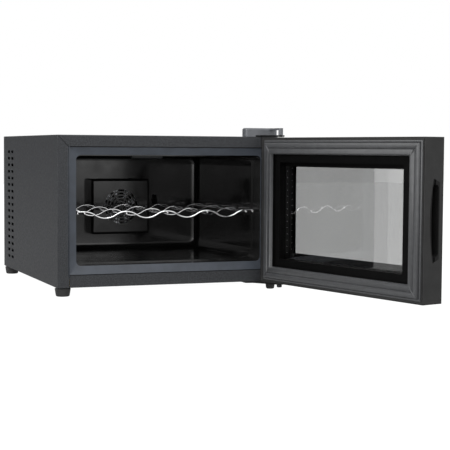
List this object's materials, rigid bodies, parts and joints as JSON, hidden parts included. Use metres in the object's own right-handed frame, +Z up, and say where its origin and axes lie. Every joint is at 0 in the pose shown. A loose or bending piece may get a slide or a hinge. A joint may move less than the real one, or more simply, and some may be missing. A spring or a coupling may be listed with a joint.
{
  "type": "wine cooler",
  "caption": "Countertop thermoelectric wine cooler: black steel cabinet, waved wire shelf and a right-hung framed glass door standing open.",
  "frame": {"origin": "on the floor, under the centre of the cabinet's width and depth", "axes": "+Z up, -Y out of the cabinet's open front, +X to the right as seen from the front (the hinge side)"},
  "size_m": [0.5431, 0.9597, 0.319],
  "materials": {
    "casing": "satin black powder coat",
    "rear_sheet": "satin black paint",
    "zinc_sheet": "galvanised",
    "screws": "black zinc",
    "feet": "moulded",
    "trim": "satin",
    "liner": "gloss",
    "foam": "cellular",
    "frosted": "frosted",
    "board": "lacquered board",
    "black_plastic": "fine satin",
    "sink": "mill",
    "ceramic": "ceramic",
    "fan_plastic": "moulded",
    "pins": "bright",
    "nylon": "natural nylon",
    "core": "lacquered",
    "cans": "sleeved",
    "shelf_wire": "polished",
    "hinge_steel": "black",
    "pin_steel": "turned",
    "hinge_cover": "satin",
    "door_plastic": "satin",
    "seal": "soft",
    "magnet": "bonded ferrite",
    "tinted_glass": "tinted",
    "clear_glass": "clear",
    "spacer": "black anodised"
  },
  "bodies": {
    "cabinet": {"outer_wrap": "casing", "base_pan": "casing", "back_panel": "rear_sheet", "back_panel_screws": "screws", "front_left_foot": "feet", "rear_left_foot": "feet", "rear_right_foot": "feet", "front_right_foot": "feet", "foot_screws": "screws", "trim_frame": "trim", "liner_collar": "liner", "inner_liner": "liner", "shelf_rails": "liner", "insulation_foam": "foam", "foam_bulkhead": "zinc_sheet", "lamp_lens": "frosted", "lamp_board": "board", "temperature_sensor": "black_plastic", "cold_sink": "sink", "cold_block": "sink", "thermoelectric_module": "ceramic", "hot_sink": "sink", "clamp_screws": "screws", "cold_fan_frame": "fan_plastic", "hot_fan_frame": "fan_plastic", "hot_fan_screws": "screws", "fan_cover": "liner", "fan_cover_screws": "screws", "power_inlet": "fan_plastic", "inlet_pins": "pins", "inlet_screws": "screws", "supply_board": "board", "board_standoffs": "nylon", "supply_transformer": "core", "supply_capacitors": "cans", "top_hinge_plate": "hinge_steel", "top_hinge_pin": "pin_steel", "top_hinge_cover": "hinge_cover", "top_hinge_screws": "screws", "lower_hinge_plate": "hinge_steel", "lower_hinge_pin": "pin_steel", "lower_hinge_screws": "screws"},
    "door": {"door_frame": "door_plastic", "door_insulation": "foam", "door_inner_frame": "black_plastic", "gasket": "seal", "magnet_strips": "magnet", "outer_glass": "tinted_glass", "inner_glass": "clear_glass", "spacer_bar": "spacer", "handle_pocket": "black_plastic", "top_hinge_bush": "nylon", "lower_hinge_bush": "nylon", "control_board": "board", "display_module": "fan_plastic"},
    "shelf": {"shelf_waves": "shelf_wire", "shelf_rods": "shelf_wire"},
    "hot_fan": {"hot_fan_rotor": "fan_plastic"},
    "cold_fan": {"cold_fan_rotor": "fan_plastic"}
  },
  "joints": [
    {"name": "door_hinge", "type": "hinge", "parent": "cabinet", "child": "door", "pos_m": [0.208, -0.285, 0.15], "axis": [0, 0, 1], "range_deg": [-103.6, 16.4]},
    {"name": "shelf_slide", "type": "slide", "parent": "cabinet", "child": "shelf", "axis": [0, -1, 0], "range_m": [0, 0.02]},
    {"name": "hot_fan_spin", "type": "hinge", "parent": "cabinet", "child": "hot_fan", "pos_m": [0, 0.1965, 0.152], "axis": [0, 1, 0], "continuous": true},
    {"name": "cold_fan_spin", "type": "hinge", "parent": "cabinet", "child": "cold_fan", "pos_m": [0, 0.102, 0.152], "axis": [0, 1, 0], "continuous": true}
  ]
}
